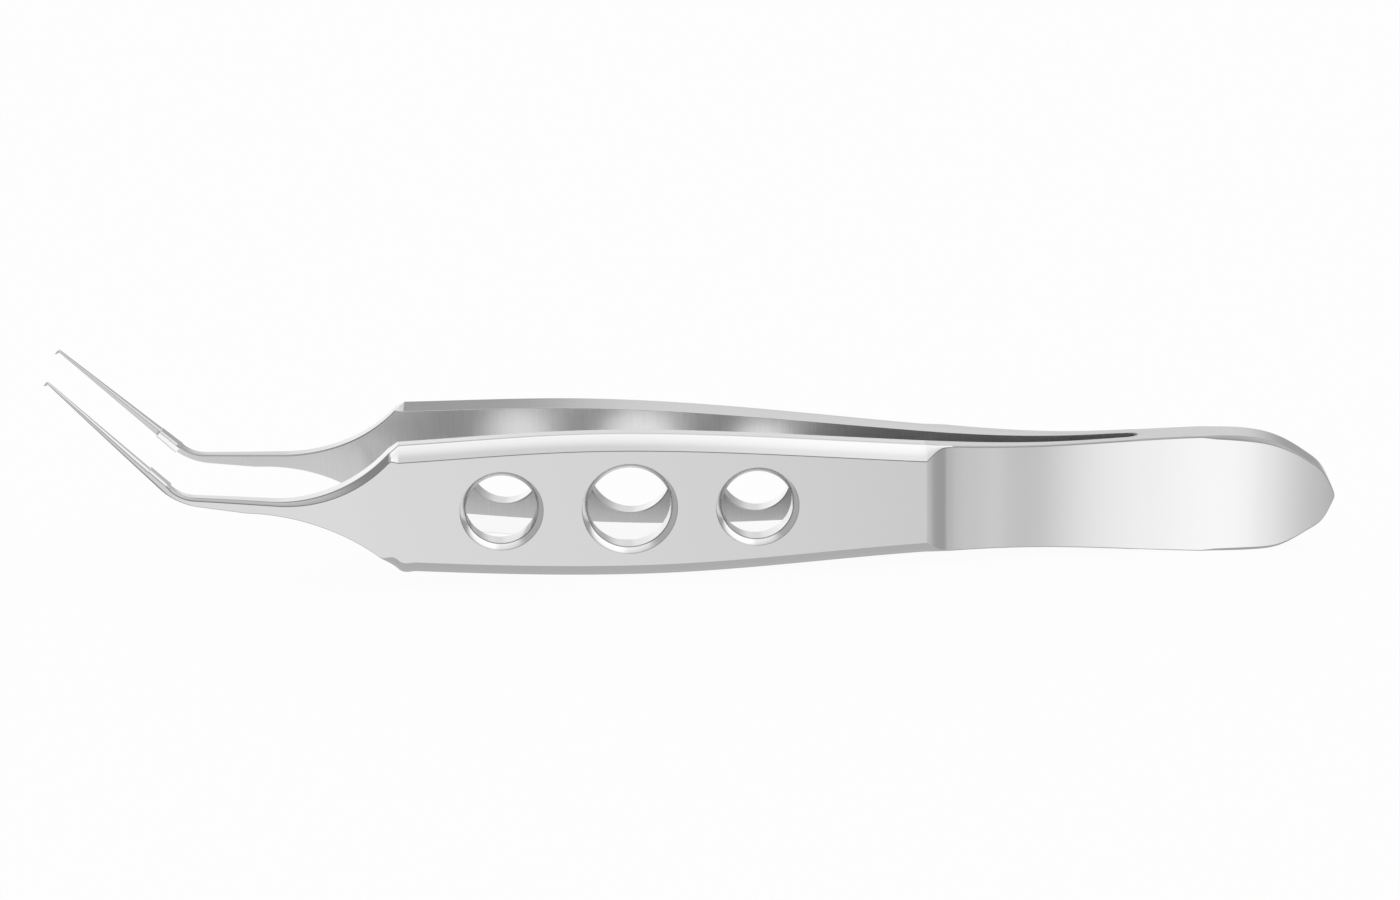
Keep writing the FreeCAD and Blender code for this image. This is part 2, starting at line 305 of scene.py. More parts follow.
inner_front = spline(
    [(-88.05, -2.32), (-78.2, -0.955), (-73.4, -0.395), (-67.5, 0.2), (HEEL_X, 0)], 0.139, 0)
outer_front = spline(
    [(-88.05, -2.02), (-78.2, -0.005), (-73.4, 0.755), (-67.5, 1.7),
     (HEEL_X, HANDLE_THICKNESS)], 0.205, 0)
SCOOP_HEAD = (-LEAF_LENGTH - SCOOP_LENGTH, 3.54)
SCOOP_FOOT = (-16.0, 2.712)
SCOOP_FOOT_SLOPE = -0.142

# The leaf and the butt's half, seen from above and measured from the middle
# plane: the outer side hollows out behind the scoop and swells again at the
# butt, and the inner side is the slit's
leaf_side = spline(
    [SCOOP_FOOT, (-15.3, 2.617), (-14.2, 2.487), (-12.8, 2.332), (-11.3, 2.176),
     (-7.4, 1.76), (-3.4, 1.473), (0.7, 1.325), (5.0, 1.31), (8.2, 1.4), (9.8, 1.382),
     (11.4, 1.324), (13.1, 1.224), (14.7, 1.1), (NOSE[0], 0.987)], SCOOP_FOOT_SLOPE, -0.1)
scoop = spline([SCOOP_HEAD, SCOOP_FOOT], -SCOOP_SLOPE, SCOOP_FOOT_SLOPE)
SLIT_HEAD_X = -9.0
slit_side = spline([(SLIT_HEAD_X, 0.985), (-3.0, 0.62), (-1.0, 0.5)], -0.065, -0.07)
SLIT_POINT = -0.15
SLIT_ROUNDING = 1.2
SLIT_ROUND_POWERS = (2.2, 0.6)


def inner_face(x):
    return inner_front(x) if x < HEEL_X else 0.0


def outer_face(x):
    if x < HEEL_X:
        return outer_front(x)
    if x < SCOOP_HEAD[0]:
        return HANDLE_THICKNESS
    side = scoop(x) if x < SCOOP_FOOT[0] else leaf_side(x)
    return min(HANDLE_THICKNESS, side - max(swung(x, 0)[1], 0))


def swung(x, y):
    """A place on the blade, swung out from the middle plane about the leaf's root."""
    y = y - LEAF_THICKNESS / 2
    root = (SLIT_WIDTH + LEAF_THICKNESS) / 2
    return (
        cos(OPEN_ANGLE) * x + sin(OPEN_ANGLE) * y,
        root - sin(OPEN_ANGLE) * x + cos(OPEN_ANGLE) * y)


def from_middle(x, y):
    """The place from above, at x, of what lies y off the blade's inner face."""
    across = swung(x, y)
    if x < SCOOP_HEAD[0]:
        return across
    outer = scoop(x) if x < SCOOP_FOOT[0] else leaf_side(x)
    start = SLIT_POINT - SLIT_ROUNDING
    if x < SLIT_HEAD_X:
        inner = swung(x, 0)[1]
    elif x < start:
        inner = slit_side(x)
    else:
        round_end = held((x - start) / SLIT_ROUNDING, 0, 1)
        bulge, blunt = SLIT_ROUND_POWERS
        inner = slit_side(start) * (1 - round_end ** bulge) ** blunt
    straight = held((x - SLIT_HEAD_X) / -SLIT_HEAD_X, 0, 1)
    share = y / outer_face(x)
    return (across[0] + (x - across[0]) * straight, inner + (outer - inner) * share)


# Sections across the blade

top_slope_along = spline([
    (HEEL_X, 1.0), (-44.0, 1.0), (-35.0, 0.93), (-22.0, 0.7), (-15.0, 0.55), (-9.0, 0.33),
    (-3.0, 0.08), (0.0, 0.0)], 0, 0)
relief_along = ramp([(-20.0, 1.0), (-12.0, 0.35), (-5.0, 0.1), (-1.0, 0.0)])
throat_bevel = ramp([(ELBOW.x, 0.2), (THROAT_TOP[0], 0.26), (-63.0, 0.55), (HEEL_X, 0.62)])


def rounded(corners):
    """Corner points of a section, each one rounded by its own radius."""
    points = []
    count = len(corners)
    for i, corner in enumerate(corners):
        before = corners[i - 1] - corner
        after = corners[(i + 1) % count] - corner
        steps = CORNER_STEPS[i]
        room = CORNER_ROOM * min(before.length, after.length)
        if room < SHORTEST_ROOM:
            points += [corner.copy() for _ in range(steps + 1)]
            continue
        half = before.angle(after) / 2
        setback = min(room, CORNER_RADII[i] / tan(half))
        radius = setback * tan(half)
        back, ahead = before.normalized(), after.normalized()
        start = corner + back * setback
        end = corner + ahead * setback
        centre = corner + (back + ahead).normalized() * (radius / sin(half))
        for k in range(steps + 1):
            share = k / steps
            way = (start - centre).normalized().slerp((end - centre).normalized(), share)
            points.append(centre + way * radius)
    return points


def section(inner_break, top, low, proud):
    """The ring of points where the blade is cut between its top edge and its low one."""
    x = (top.x + low.x) / 2
    up = top - low
    height = up.length
    up = up / height
    inner, outer = inner_face(x) - proud, outer_face(x)
    thick = outer - inner
    room = min(thick, height)
    on_shaft = held((ELBOW.x + SHAFT_BLEND - x) / (2 * SHAFT_BLEND), 0, 1)
    ease = mixed(min(FINE_BREAK, FINE_SHARE * room), SHAFT_SHARE * room, on_shaft)
    chamfer = max(ease, min(throat_bevel(x), CHAMFER_SHARE * room))
    small = min(EDGE_BREAK, EDGE_SHARE * room)
    fine = FINEST_OF_EDGE * small
    wide = max(BEVEL[1] - (HANDLE_THICKNESS - outer) * BEVEL_FALL, small)
    wide = held(wide, 0, BEVEL_SHARES[1] * thick)
    high = min(wide * BEVEL[0] / BEVEL[1], BEVEL_SHARES[0] * height)
    on_handle = held((x - HEEL_X) / (SHOULDER_X - HEEL_X), 0, 1)
    depth = mixed(chamfer, wide, on_handle)
    rise = mixed(chamfer, high, on_handle)
    sloped = max(inner_break * top_slope_along(x), fine) if x < 0 else 0
    cut = mixed(ease, sloped, on_handle)
    slope = mixed(ease, min(thick - wide, max(2 * sloped, fine)) if x < 0 else 0, on_handle)
    on_keel = eased(held((x - LOW_BEVEL_RUN[0]) / (LOW_BEVEL_RUN[1] - LOW_BEVEL_RUN[0]), 0, 1))
    low_depth = mixed(ease, wide, on_keel)
    low_rise = mixed(ease, high, on_keel)
    relief = held(RELIEF[0] * relief_along(x), fine, RELIEF_SHARE * height) if x < 0 else 0
    lift = mixed(ease, relief, on_keel)
    lift_depth = mixed(ease, relief * RELIEF[1] / RELIEF[0], on_keel)
    low_crown = Vector((low_rise, -low_depth)) * BEVEL_CROWN
    crown = Vector((rise, depth)) * BEVEL_CROWN
    ring = rounded([
        Vector((inner, lift)),
        Vector((inner + lift_depth, 0)),
        Vector((outer - low_depth, 0)),
        Vector((outer - low_depth / 2, low_rise / 2)) + low_crown,
        Vector((outer, low_rise)),
        Vector((outer, height - rise)),
        Vector((outer - depth / 2, height - rise / 2)) + crown,
        Vector((outer - depth, height)),
        Vector((inner + slope, height)),
        Vector((inner, height - cut))])
    points = []
    for p in ring:
        at = low + up * p.y
        plan = from_middle(at.x, p.x)
        points.append(Vector((plan[0], plan[1], at.y)))
    return points


# How many rings there are along each length of the blade, from the hook to the nose. A row of
# RUNS is where a length starts, where it ends and how many rings it gets.
HOOK_RINGS = 4
HOOK_CORNER_RINGS = 6
SHAFT_RINGS = 22
PAD_RINGS = 7
SHAFT_ROOT_RINGS = 4
ELBOW_RINGS = 16
ELBOW_END_RINGS = 4
SHANK_END = -65.0
SHANK_RINGS = 24
RUNS = (
    (SHANK_END, -61.2, 18), (-61.2, HEEL_X, 5), (HEEL_X, SHOULDER_X - SHORT_STEP, 6),
    (SHOULDER_X - SHORT_STEP, SHOULDER_X, 1), (SHOULDER_X, -58.9, 10), (-58.9, -20.0, 44),
    (-20.0, -17.6, 4), (-17.6, -LEAF_LENGTH, 16), (-LEAF_LENGTH, SLIT_HEAD_X, 16),
    (SLIT_HEAD_X, -1.35, 14), (-1.35, SLIT_POINT, 14), (SLIT_POINT, 9.0, 16),
    (9.0, 14.6, 18), (14.6, NOSE_ROUND_X, 12))
NOSE_RINGS = 6
BELOW_SEARCH = 0.002
ELBOW_SEARCH = 0.001


def below(elbow, tip_low, at):
    """The place on the shaft's low edge at a distance up the shaft from the elbow."""
    bend = (elbow(0) - ELBOW).dot(UP_SHAFT)
    if at >= bend:
        along = (tip_low - elbow(0)).normalized()
        return elbow(0) + along * (at - bend) / along.dot(UP_SHAFT)
    share = 0.0
    while (elbow(share) - ELBOW).dot(UP_SHAFT) > at:
        share += BELOW_SEARCH
    return elbow(share)


def stations():
    """Places on the top and low edges from hook to nose, and how proud the pad is there."""
    places = []
    back, inside = HOOK_BACK_RADIUS, HOOK_INSIDE_RADIUS
    back_loss, inside_loss = HOOK_POINT_LOSS
    for k in range(HOOK_RINGS):
        share = k / HOOK_RINGS
        places.append((
            mixed(HOOK_POINT - UP_SHAFT * back_loss, APEX + DOWN_HOOK * back, share),
            mixed(HOOK_POINT - UP_SHAFT * inside_loss, HOOK_ROOT + DOWN_HOOK * inside, share), 0))
    back_centre = APEX + DOWN_HOOK * back - UP_SHAFT * back
    inside_centre = HOOK_ROOT + DOWN_HOOK * inside - UP_SHAFT * inside
    for k in range(HOOK_CORNER_RINGS):
        a = pi / 2 * k / (HOOK_CORNER_RINGS - 1)
        places.append((
            back_centre + UP_SHAFT * (back * cos(a)) - DOWN_HOOK * (back * sin(a)),
            inside_centre + UP_SHAFT * (inside * cos(a)) - DOWN_HOOK * (inside * sin(a)), 0))
    tip = (places[-1][0] - ELBOW).dot(UP_SHAFT)
    tip_low = places[-1][1]
    bend = (top_elbow(0) - ELBOW).dot(UP_SHAFT)
    above_pad, below_pad = PAD_START + PAD_LENGTH + PAD_STEP, PAD_START - PAD_STEP
    down_the_shaft = [
        (tip + (above_pad - tip) * k / SHAFT_RINGS, 0) for k in range(1, SHAFT_RINGS + 1)]
    down_the_shaft += [
        (PAD_START + PAD_LENGTH * (1 - k / (PAD_RINGS - 1)), 1) for k in range(PAD_RINGS)]
    down_the_shaft += [
        (below_pad + (bend - below_pad) * k / (SHAFT_ROOT_RINGS - 1), 0)
        for k in range(SHAFT_ROOT_RINGS)]
    along_top = (top_elbow(0) - places[-1][0]).normalized()
    for at, on in down_the_shaft:
        top = top_elbow(0) + along_top * (bend - at) / along_top.dot(-UP_SHAFT)
        low = below(low_elbow, tip_low, at)
        places.append((top + (top - low).normalized() * (PAD_LIFT * on), low, PAD_PROUD * on))
    first, last = 0.0, 1.0
    while (low_elbow(first) - ELBOW).dot(UP_SHAFT) > bend:
        first += ELBOW_SEARCH
    while low_elbow(last).x > top_elbow(1).x:
        last -= ELBOW_SEARCH
    for k in range(1, ELBOW_RINGS + 1):
        share = k / ELBOW_RINGS
        places.append((top_elbow(share), low_elbow(mixed(first, last, share)), 0))
    for k in range(1, ELBOW_END_RINGS + 1):
        low = low_elbow(mixed(last, 1, k / ELBOW_END_RINGS))
        places.append((Vector((low.x, top_edge(low.x))), low, 0))
    stops = []
    for start, end, count in ((low_elbow(1).x, SHANK_END, SHANK_RINGS), *RUNS):
        stops += [start + (end - start) * k / count for k in range(1, count + 1)]
    reach = acos((NOSE_ROUND_X - NOSE_CENTRE_X) / NOSE_RADIUS)
    for k in range(1, NOSE_RINGS):
        stops.append(NOSE_CENTRE_X + NOSE_RADIUS * cos(reach * (1 - k / NOSE_RINGS)))
    places += [(Vector((x, top_edge(x))), Vector((x, low_edge(x))), 0) for x in stops]
    return places


# Modelling steps

def pick_nothing():
    if bpy.context.object and bpy.context.object.mode != "OBJECT":
        bpy.ops.object.mode_set(mode="OBJECT")
    bpy.ops.object.select_all(action="DESELECT")


def pick(thing):
    pick_nothing()
    thing.select_set(True)
    bpy.context.view_layer.objects.active = thing


def settle(thing):
    """Leaves the object at the origin, with its place in its mesh."""
    pick(thing)
    bpy.ops.object.transform_apply(location=True, rotation=True, scale=True)


def apply_modifier(thing, kind, **settings):
    pick(thing)
    modifier = thing.modifiers.new(kind.lower(), kind)
    for key, value in settings.items():
        setattr(modifier, key, value)
    bpy.ops.object.modifier_apply(modifier=modifier.name)


# Finishes of the blade's faces
# Three finishes are darker greys painted as shade: the lower bevel, the dark line and the chamfer
FACE, LEAF, BEVELS, LOWER_PAINTED_SHADE, EDGE, SHADE_LINE, CHAMFER_PAINTED_SHADE, INSIDE, WALL = range(9)
TOP_LINE = 5
PAD_REACH = (
    ELBOW.x + UP_SHAFT.x * (PAD_START + PAD_LENGTH), ELBOW.x + UP_SHAFT.x * PAD_START)
HANDLE_REACH = (HEEL_X - 0.1, SCOOP_HEAD[0] + 0.5)


def finish_of(side, x, inner_break):
    """The finish of a strip: side is its place round the section, x its place along it."""
    # Lower bevel: painted shade in its dark grey on the handle and shank, and the painted dark
    # line on the leaf and butt
    if side in (2, 3):
        return LOWER_PAINTED_SHADE if x < -LEAF_LENGTH else SHADE_LINE
    if side == 4:
        return FACE if x < SCOOP_HEAD[0] else LEAF
    # Top bevel: the painted dark line on the leaf and butt, and painted shade in the dark chamfer
    # along the shank and throat
    if side in (5, 6):
        if x < PAD_REACH[1]:
            return EDGE
        if x > -LEAF_LENGTH:
            return SHADE_LINE
        return CHAMFER_PAINTED_SHADE if x < HEEL_X else BEVELS
    if side == 7:
        return EDGE if inner_break or x > SCOOP_HEAD[0] else BEVELS
    # Inner top break: the painted dark line along the shank and throat
    if side == 8:
        return SHADE_LINE if PAD_REACH[1] < x < HEEL_X else EDGE
    if side == 9:
        return BEVELS if PAD_REACH[0] < x < PAD_REACH[1] else INSIDE
    return BEVELS if x < SCOOP_HEAD[0] and side == 0 else EDGE


def drawn_blade(inner_break):
    """The blade without its holes: one ring of points, extruded from station to station."""
    rings = [section(inner_break, *place) for place in stations()]
    count = len(rings[0])
    pick_nothing()
    bpy.ops.mesh.primitive_circle_add(vertices=count, radius=1)
    blade = bpy.context.object
    bpy.ops.object.mode_set(mode="EDIT")
    mesh = bmesh.from_edit_mesh(blade.data)
    place = mesh.verts.layers.int.new("place")
    mesh.verts.ensure_lookup_table()
    for i, vert in enumerate(mesh.verts):
        vert[place] = i
        vert.co = rings[0][i]
    bpy.ops.mesh.select_all(action="SELECT")
    bpy.ops.mesh.edge_face_add()
    for ring in rings[1:]:
        bpy.ops.mesh.extrude_region_move()
        mesh = bmesh.from_edit_mesh(blade.data)
        place = mesh.verts.layers.int["place"]
        for vert in mesh.verts:
            if vert.select:
                vert.co = ring[vert[place]]
    bmesh.update_edit_mesh(blade.data)
    corner_of = []
    for corner, steps in enumerate(CORNER_STEPS):
        corner_of += [corner] * (steps + 1)
    starts = [corner_of.index(c) for c in range(len(CORNER_STEPS))]
    mesh = bmesh.from_edit_mesh(blade.data)
    place = mesh.verts.layers.int["place"]
    for face in mesh.faces:
        face.smooth = True
        places = sorted({vert[place] for vert in face.verts})
        if len(places) != 2:
            face.material_index = EDGE
            continue
        a, b = places
        if b - a > 1:
            a = b
        here = corner_of[a]
        past = a - starts[here]
        side = here if past >= CORNER_STEPS[here] / 2 else (here - 1) % len(CORNER_STEPS)
        x = face.calc_center_median().x
        # The top rounding between pad and leaf gets the painted dark line
        on_corner = here == TOP_LINE and past < CORNER_STEPS[here]
        on_line = on_corner and PAD_REACH[1] < x < -LEAF_LENGTH
        face.material_index = SHADE_LINE if on_line else finish_of(side, x, inner_break)
    bpy.ops.mesh.select_all(action="SELECT")
    bpy.ops.mesh.remove_doubles(threshold=MERGE_DISTANCE)
    bpy.ops.mesh.normals_make_consistent(inside=False)
    for finish in (FACE, INSIDE):
        bpy.ops.mesh.select_all(action="DESELECT")
        mesh = bmesh.from_edit_mesh(blade.data)
        for face in mesh.faces:
            xs = [vert.co.x for vert in face.verts]
            on_handle = min(xs) > HANDLE_REACH[0] and max(xs) < HANDLE_REACH[1]
            face.select = on_handle and face.material_index == finish
        bmesh.update_edit_mesh(blade.data)
        bpy.ops.mesh.dissolve_limited(angle_limit=FLAT_ANGLE)
    bpy.ops.object.mode_set(mode="OBJECT")
    return blade


def hole_tool(number):
    """The turned solid that a hole, its countersink and their rims take out of the handle."""
    radius = HOLE_DIAMETERS[number] / 2
    step = (number - 1) * HOLE_PITCH
    x, z = MIDDLE_HOLE[0] + step, MIDDLE_HOLE[1] - step * HOLE_LINE_FALL
    slant = SINK_WIDTH / SINK_DEPTH
    rim = radius + SINK_WIDTH - RIM_BREAK * slant
    turned = [
        (-TOOL_REACH, radius + TOOL_REACH + BACK_BREAK), (BACK_BREAK, radius),
        (HANDLE_THICKNESS - SINK_DEPTH - RIM_BREAK, radius),
        (HANDLE_THICKNESS - SINK_DEPTH + RIM_BREAK, radius + RIM_BREAK * slant),
        (HANDLE_THICKNESS - RIM_BREAK, rim),
        (HANDLE_THICKNESS + TOOL_REACH, rim + TOOL_SPREAD * (TOOL_REACH + RIM_BREAK))]
    pick_nothing()
    bpy.ops.mesh.primitive_circle_add(
        vertices=HOLE_SIDES, radius=turned[0][1], fill_type="NGON",
        location=(x, turned[0][0], z), rotation=(-pi / 2, 0, 0))
    tool = bpy.context.object
    settle(tool)
    bpy.ops.object.mode_set(mode="EDIT")
    bpy.ops.mesh.select_all(action="SELECT")
    for (y0, r0), (y1, r1) in zip(turned, turned[1:]):
        bpy.ops.mesh.extrude_region_move(TRANSFORM_OT_translate={"value": (0, y1 - y0, 0)})
        bpy.ops.transform.resize(value=(r1 / r0, 1, r1 / r0), center_override=(x, 0, z))
    mesh = bmesh.from_edit_mesh(tool.data)
    for face in mesh.faces:
        at = face.calc_center_median().y
        ring = sum(at > y for y, _ in turned[1:])
        face.smooth = True
        # The back break and the step into the countersink get the painted dark line
        face.material_index = (SHADE_LINE, WALL, SHADE_LINE, WALL, EDGE)[min(ring, 4)]
    bmesh.update_edit_mesh(tool.data)
    bpy.ops.mesh.select_all(action="SELECT")
    bpy.ops.mesh.normals_make_consistent(inside=False)
    bpy.ops.object.mode_set(mode="OBJECT")
    return tool


def swung_tool(tool):
    """The tool, moved from the straight blade to where the swung-out one lies."""
    for vert in tool.data.vertices:
        x, y = swung(vert.co.x, vert.co.y)
        vert.co = Vector((x, y, vert.co.z))
    return tool


def blade(name, side, inner_break):
    """One finished blade. Side is 1 for the far one and -1 for the near one."""
    thing = drawn_blade(inner_break)
    thing.name = name
    for material in FINISHES:
        thing.data.materials.append(material)
    for number in range(3):
        tool = swung_tool(hole_tool(number))
        for material in FINISHES:
            tool.data.materials.append(material)
        apply_modifier(
            thing, "BOOLEAN", operation="DIFFERENCE", solver="EXACT", object=tool,
            material_mode="INDEX")
        bpy.data.objects.remove(tool)
    pick(thing)
    bpy.ops.object.mode_set(mode="EDIT")
    bpy.ops.mesh.select_all(action="SELECT")
    bpy.ops.transform.resize(value=(1, side, 1), center_override=(0, 0, 0))
    bpy.ops.transform.translate(value=(SLIT_END_X, 0, STAND_HEIGHT))
    bpy.ops.mesh.normals_make_consistent(inside=False)
    bpy.ops.object.mode_set(mode="OBJECT")
    bpy.ops.object.shade_smooth_by_angle(angle=SHARP_ANGLE)
    apply_modifier(thing, "WEIGHTED_NORMAL", mode="FACE_AREA", weight=50, keep_sharp=True)
    pick(thing)
    bpy.ops.transform.resize(value=(MM, MM, MM), center_override=(0, 0, 0))
    settle(thing)
    return thing


# Materials

GRAIN_HEIGHT = 0.00002
COOL = 0.002


def principled(name, base, roughness, metallic=1.0):
    material = bpy.data.materials.new(name)
    material.use_nodes = True
    shader = material.node_tree.nodes["Principled BSDF"]
    shader.inputs["Base Color"].default_value = (*base, 1)
    shader.inputs["Roughness"].default_value = roughness
    shader.inputs["Metallic"].default_value = metallic
    return material, shader


def grain(material, shader, stretch, scale, low, high, bump):
    """Fine grain on the object's own coordinates, in the roughness and as a faint bump."""
    nodes, links = material.node_tree.nodes, material.node_tree.links
    place = nodes.new("ShaderNodeTexCoord")
    turn = nodes.new("ShaderNodeMapping")
    turn.inputs["Scale"].default_value = stretch
    noise = nodes.new("ShaderNodeTexNoise")
    noise.inputs["Scale"].default_value = scale
    noise.inputs["Detail"].default_value = 4
    rough = nodes.new("ShaderNodeMapRange")
    rough.inputs["To Min"].default_value = low
    rough.inputs["To Max"].default_value = high
    lift = nodes.new("ShaderNodeBump")
    lift.inputs["Strength"].default_value = bump
    lift.inputs["Distance"].default_value = GRAIN_HEIGHT
    links.new(place.outputs["Object"], turn.inputs["Vector"])
    links.new(turn.outputs["Vector"], noise.inputs["Vector"])
    links.new(noise.outputs["Fac"], rough.inputs["Value"])
    links.new(rough.outputs["Result"], shader.inputs["Roughness"])
    links.new(noise.outputs["Fac"], lift.inputs["Height"])
    links.new(lift.outputs["Normal"], shader.inputs["Normal"])
    return noise


def steel(name, grey, roughness, stretch, scale, low, high, bump):
    """Bare steel of one finish: its grey, its gloss, and its grain from roughness low to high."""
    material, shader = principled(name, (grey, grey, grey + COOL), roughness)
    streaks = grain(material, shader, stretch, scale, low, high, bump)
    return material, shader, streaks


# Where the inside's grey changes, in metres along the frame's X and Z, and its levels: darker at
# the shank than on the handle, and painted shade that darkens the handle towards its keel
SHANK_TO_HANDLE = (-0.0275, -0.0245)
SHANK_TO_SHADE = (-0.0275, -0.024)
KEEL_TO_TOP = (0.0062, 0.0088)
INSIDE_GREYS = (0.54, 0.76)
KEEL_SHADE = 0.62
STREAK_SHADES = (0.95, 1.03)


def brushed_inside_painted_shade():
    """Brushed across the blade and darker at the shank than on the handle; on the handle, painted
    shade darkens it towards the keel, so its top is brightest.
    """
    material, shader, streaks = steel(
        "brushed_inside_painted_shade", 0.7, 0.33, (1, 1, 0.06), 7000, 0.28, 0.4, 0.2)
    nodes, links = material.node_tree.nodes, material.node_tree.links
    place = nodes.new("ShaderNodeTexCoord")
    split = nodes.new("ShaderNodeSeparateXYZ")
    links.new(place.outputs["Object"], split.inputs["Vector"])

    def level(source, low, high, darkest, brightest):
        node = nodes.new("ShaderNodeMapRange")
        for label, value in (
                ("From Min", low), ("From Max", high), ("To Min", darkest), ("To Max", brightest)):
            node.inputs[label].default_value = value
        links.new(source, node.inputs["Value"])
        return node.outputs["Result"]

    def times(first, second):
        node = nodes.new("ShaderNodeMath")
        node.operation = "MULTIPLY"
        links.new(first, node.inputs[0])
        links.new(second, node.inputs[1])
        return node.outputs[0]

    along = level(split.outputs["X"], *SHANK_TO_HANDLE, *INSIDE_GREYS)
    # Painted shade: the grey darkens towards the keel, where shade falls between the blades
    down = level(split.outputs["Z"], *KEEL_TO_TOP, KEEL_SHADE, 1.0)
    worn = level(streaks.outputs["Fac"], 0.3, 0.7, *STREAK_SHADES)
    front = level(split.outputs["X"], *SHANK_TO_SHADE, 1.0, 0.0)
    keel_painted_shade = nodes.new("ShaderNodeMath")
    keel_painted_shade.operation = "MAXIMUM"
    links.new(down, keel_painted_shade.inputs[0])
    links.new(front, keel_painted_shade.inputs[1])
    grey = times(times(along, keel_painted_shade.outputs[0]), worn)
    colour = nodes.new("ShaderNodeCombineColor")
    for channel in ("Red", "Green", "Blue"):
        links.new(grey, colour.inputs[channel])
    links.new(colour.outputs["Color"], shader.inputs["Base Color"])
    return material


# Each row: name, grey, roughness, stretch of the grain, its scale, its lowest and highest
# roughness, and its bump. The list is in the order of the finishes' numbers.
PLAIN_FINISHES = [
    ("satin_face", 0.6, 0.26, (1, 1, 1), 9000, 0.255, 0.28, 0.012),
    ("polished_leaf", 0.76, 0.2, (1, 1, 1), 9000, 0.18, 0.24, 0.03),
    ("polished_bevel", 0.74, 0.14, (0.2, 1, 1), 6000, 0.11, 0.16, 0.02),
    # Lower bevel: painted shade, a dark grey standing in for the shadowed floor it mirrors
    ("lower_bevel_painted_shade", 0.42, 0.22, (0.2, 1, 1), 6000, 0.18, 0.26, 0.03),
    ("ground_edge", 0.64, 0.16, (1, 0.1, 1), 7000, 0.14, 0.2, 0.03),
    # Dark line: painted shade, a dark grey on edge breaks, hole rims and the leaf's and butt's
    # bevels, standing in for dark reflections
    ("dark_line_painted_shade", 0.36, 0.3, (0.1, 1, 1), 5000, 0.25, 0.35, 0.02),
    # Chamfer along the shank and throat: painted shade, a dark grey standing in for its dark
    # reflection
    ("throat_chamfer_painted_shade", 0.44, 0.26, (0.2, 1, 1), 6000, 0.22, 0.3, 0.03)]
TURNED_WALL = ("turned_wall", 0.74, 0.16, (0.1, 1, 0.1), 5000, 0.12, 0.18, 0.04)
FINISHES = [steel(*row)[0] for row in PLAIN_FINISHES] + [brushed_inside_painted_shade(), steel(*TURNED_WALL)[0]]


# Stage, light and camera

FLOOR_SIZE = 6
FLOOR_WHITE = 0.95


def floor():
    """Pale paper, which camera rays see as nearly plain white and mirrored rays pass through."""
    pick_nothing()
    bpy.ops.mesh.primitive_plane_add(size=FLOOR_SIZE)
    ground = bpy.context.object
    ground.name = "floor"
    material, shader = principled("floor_paper", (0.9, 0.9, 0.9), 0.9, 0)
    shader.inputs["Specular IOR Level"].default_value = 0
    nodes, links = material.node_tree.nodes, material.node_tree.links
    rays = nodes.new("ShaderNodeLightPath")
    glow = nodes.new("ShaderNodeEmission")
    glow.inputs["Strength"].default_value = 1.0
    both = nodes.new("ShaderNodeMixShader")
    share = nodes.new("ShaderNodeMath")
    share.operation = "MULTIPLY"
    share.inputs[1].default_value = FLOOR_WHITE
    links.new(rays.outputs["Is Camera Ray"], share.inputs[0])
    links.new(share.outputs[0], both.inputs["Fac"])
    links.new(shader.outputs["BSDF"], both.inputs[1])
    links.new(glow.outputs["Emission"], both.inputs[2])
    mirrored = nodes.new("ShaderNodeMath")
    mirrored.operation = "MAXIMUM"
    links.new(rays.outputs["Is Glossy Ray"], mirrored.inputs[0])
    links.new(rays.outputs["Is Transmission Ray"], mirrored.inputs[1])
    room = nodes.new("ShaderNodeBsdfTransparent")
    seen = nodes.new("ShaderNodeMixShader")
    links.new(mirrored.outputs[0], seen.inputs["Fac"])
    links.new(both.outputs["Shader"], seen.inputs[1])
    links.new(room.outputs["BSDF"], seen.inputs[2])
    links.new(seen.outputs["Shader"], nodes["Material Output"].inputs["Surface"])
    ground.data.materials.append(material)


# Brightness of the room by height, from the back's horizon down, under the front and up over
# the top to the back again: 0 is the back's horizon, 0.25 straight down, 0.5 the front's
# horizon and 0.75 overhead
ROOM_MIDDLE = [
    (0.0, 1.15), (0.06, 1.0), (0.2, 0.95), (0.3, 1.0), (0.36, 1.35), (0.42, 1.3),
    (0.465, 1.3), (0.5, 0.8), (0.53, 0.45), (0.6, 0.42), (0.64, 0.72), (0.672, 1.05),
    (0.72, 1.4), (0.78, 1.1), (0.815, 0.88), (0.9, 0.75), (0.944, 0.9), (0.985, 1.15),
    (1.0, 1.15)]
ROOM_LEFT = [
    (0.0, 1.15), (0.06, 1.0), (0.2, 0.95), (0.3, 1.0), (0.36, 1.3), (0.42, 1.25),
    (0.465, 1.25), (0.5, 0.75), (0.53, 0.42), (0.6, 0.4), (0.64, 0.7), (0.672, 1.05),
    (0.72, 1.35), (0.78, 0.6), (0.815, 0.35), (0.88, 0.4), (0.93, 1.0), (0.985, 1.2),
    (1.0, 1.15)]
ROOM_RIGHT = [
    (0.0, 0.45), (0.06, 0.5), (0.15, 0.95), (0.3, 0.95), (0.36, 0.42), (0.42, 0.42),
    (0.465, 0.42), (0.5, 0.42), (0.53, 0.4), (0.6, 0.5), (0.64, 1.1), (0.672, 1.4),
    (0.72, 1.4), (0.78, 1.0), (0.815, 0.85), (0.9, 0.75), (0.944, 0.7), (0.985, 0.45),
    (1.0, 0.45)]

# The grey at the room's far left, and the runs of X over which each part gives way to the next
DUSK = 0.5
DUSK_TO_LEFT = (-0.7, -0.4)
LEFT_TO_MIDDLE = (-0.13, 0.0)
MIDDLE_TO_RIGHT = (0.12, 0.34)


